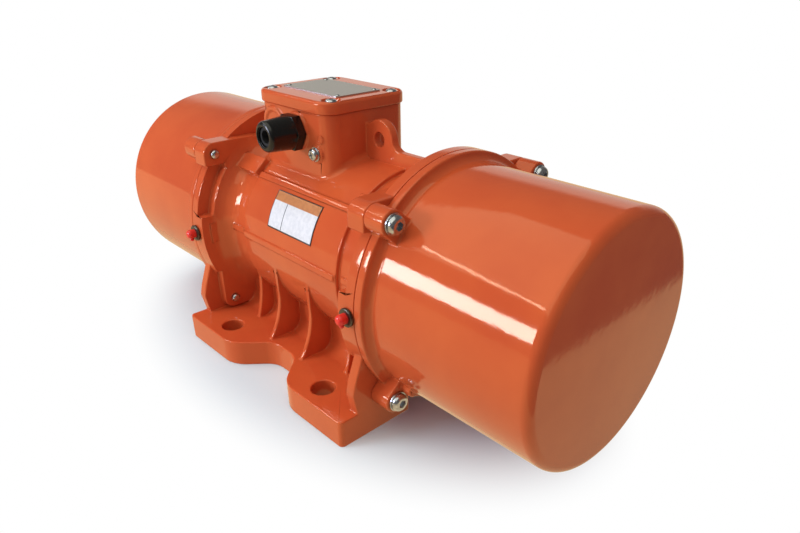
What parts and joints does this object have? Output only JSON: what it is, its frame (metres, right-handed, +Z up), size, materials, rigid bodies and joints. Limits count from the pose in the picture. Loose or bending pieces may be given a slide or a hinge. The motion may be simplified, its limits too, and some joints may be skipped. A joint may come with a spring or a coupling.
{
  "type": "vibration motor",
  "caption": "Foot-mounted electric vibration motor with covered unbalance weights at both shaft ends, a top terminal box with cable gland and a lifting lug.",
  "frame": {"origin": "on the ground under the middle of the motor, midway between the four foot holes", "axes": "+X along the shaft towards the right cover, +Y away from the cable gland side, +Z up"},
  "size_m": [0.452, 0.203, 0.2002],
  "materials": {
    "enamel": "gloss enamel over a casting",
    "machined_steel": "ground",
    "weight_steel": "flame-cut plate, oiled",
    "zinc_plate": "zinc plated",
    "bare_iron": "machined cast iron",
    "seal_rubber": "matt",
    "red_plastic": "glossy",
    "sheet_steel": "laminated",
    "copper": "varnished copper wire",
    "cast_aluminium": "as cast",
    "plate_aluminium": "satin",
    "black_plastic": "moulded nylon",
    "brass": "turned",
    "label_film": "printed film"
  },
  "bodies": {
    "frame": {"motor_body": "enamel", "weight_cover_left": "enamel", "weight_cover_right": "enamel", "terminal_box_lid": "enamel", "bearing_outer_ring_left": "machined_steel", "bearing_flange_left": "bare_iron", "inner_bearing_cover_left": "bare_iron", "bearing_flange_screws_left": "zinc_plate", "cover_screws_left": "zinc_plate", "cover_washers_left": "zinc_plate", "shaft_seal_left": "seal_rubber", "cover_seal_left": "seal_rubber", "grease_nipple_left": "zinc_plate", "bearing_outer_ring_right": "machined_steel", "bearing_flange_right": "bare_iron", "inner_bearing_cover_right": "bare_iron", "bearing_flange_screws_right": "zinc_plate", "cover_screws_right": "zinc_plate", "cover_washers_right": "zinc_plate", "shaft_seal_right": "seal_rubber", "cover_seal_right": "seal_rubber", "grease_nipple_right": "zinc_plate", "stator_core": "sheet_steel", "stator_windings": "copper", "lid_gasket": "seal_rubber", "lid_screws": "zinc_plate", "nameplate": "plate_aluminium", "nameplate_rivets": "plate_aluminium", "terminal_block": "black_plastic", "terminal_studs": "brass", "gland_body": "black_plastic", "gland_dome_nut": "black_plastic", "gland_locknut": "black_plastic", "gland_seal": "seal_rubber", "earth_washer": "zinc_plate", "earth_screw": "zinc_plate", "label_plate": "label_film"},
    "rotor": {"shaft": "machined_steel", "rotor_core": "sheet_steel", "rotor_end_rings": "cast_aluminium", "bearing_inner_ring_left": "machined_steel", "spacer_sleeve_left": "machined_steel", "shaft_key_left": "machined_steel", "fixed_weight_left": "weight_steel", "end_washer_left": "machined_steel", "retaining_ring_left": "machined_steel", "bearing_inner_ring_right": "machined_steel", "spacer_sleeve_right": "machined_steel", "shaft_key_right": "machined_steel", "fixed_weight_right": "weight_steel", "end_washer_right": "machined_steel", "retaining_ring_right": "machined_steel"},
    "adjustable_weight_left": {"adjustable_weight_left": "weight_steel", "clamp_screw_left": "zinc_plate"},
    "roller_cage_left": {"roller_cage_left": "machined_steel"},
    "grease_cap_left": {"grease_cap_left": "red_plastic"},
    "adjustable_weight_right": {"adjustable_weight_right": "weight_steel", "clamp_screw_right": "zinc_plate"},
    "roller_cage_right": {"roller_cage_right": "machined_steel"},
    "grease_cap_right": {"grease_cap_right": "red_plastic"}
  },
  "joints": [
    {"name": "rotor_spin", "type": "hinge", "parent": "frame", "child": "rotor", "pos_m": [0, 0, 0.09], "axis": [1, 0, 0], "continuous": true},
    {"name": "roller_orbit_left", "type": "hinge", "parent": "frame", "child": "roller_cage_left", "pos_m": [-0.0805, 0, 0.09], "axis": [1, 0, 0], "continuous": true},
    {"name": "weight_setting_left", "type": "hinge", "parent": "rotor", "child": "adjustable_weight_left", "pos_m": [-0.171, 0, 0.09], "axis": [1, 0, 0], "range_deg": [0, 180]},
    {"name": "cap_pull_left", "type": "slide", "parent": "frame", "child": "grease_cap_left", "axis": [0, -1, 0], "range_m": [0, 0.02]},
    {"name": "roller_orbit_right", "type": "hinge", "parent": "frame", "child": "roller_cage_right", "pos_m": [0.0805, 0, 0.09], "axis": [1, 0, 0], "continuous": true},
    {"name": "weight_setting_right", "type": "hinge", "parent": "rotor", "child": "adjustable_weight_right", "pos_m": [0.171, 0, 0.09], "axis": [1, 0, 0], "range_deg": [0, 180]},
    {"name": "cap_pull_right", "type": "slide", "parent": "frame", "child": "grease_cap_right", "axis": [0, -1, 0], "range_m": [0, 0.02]}
  ],
  "couplings": [
    {"joint": "roller_orbit_left", "follows": "rotor_spin", "ratio": 0.411},
    {"joint": "roller_orbit_right", "follows": "rotor_spin", "ratio": 0.411}
  ]
}
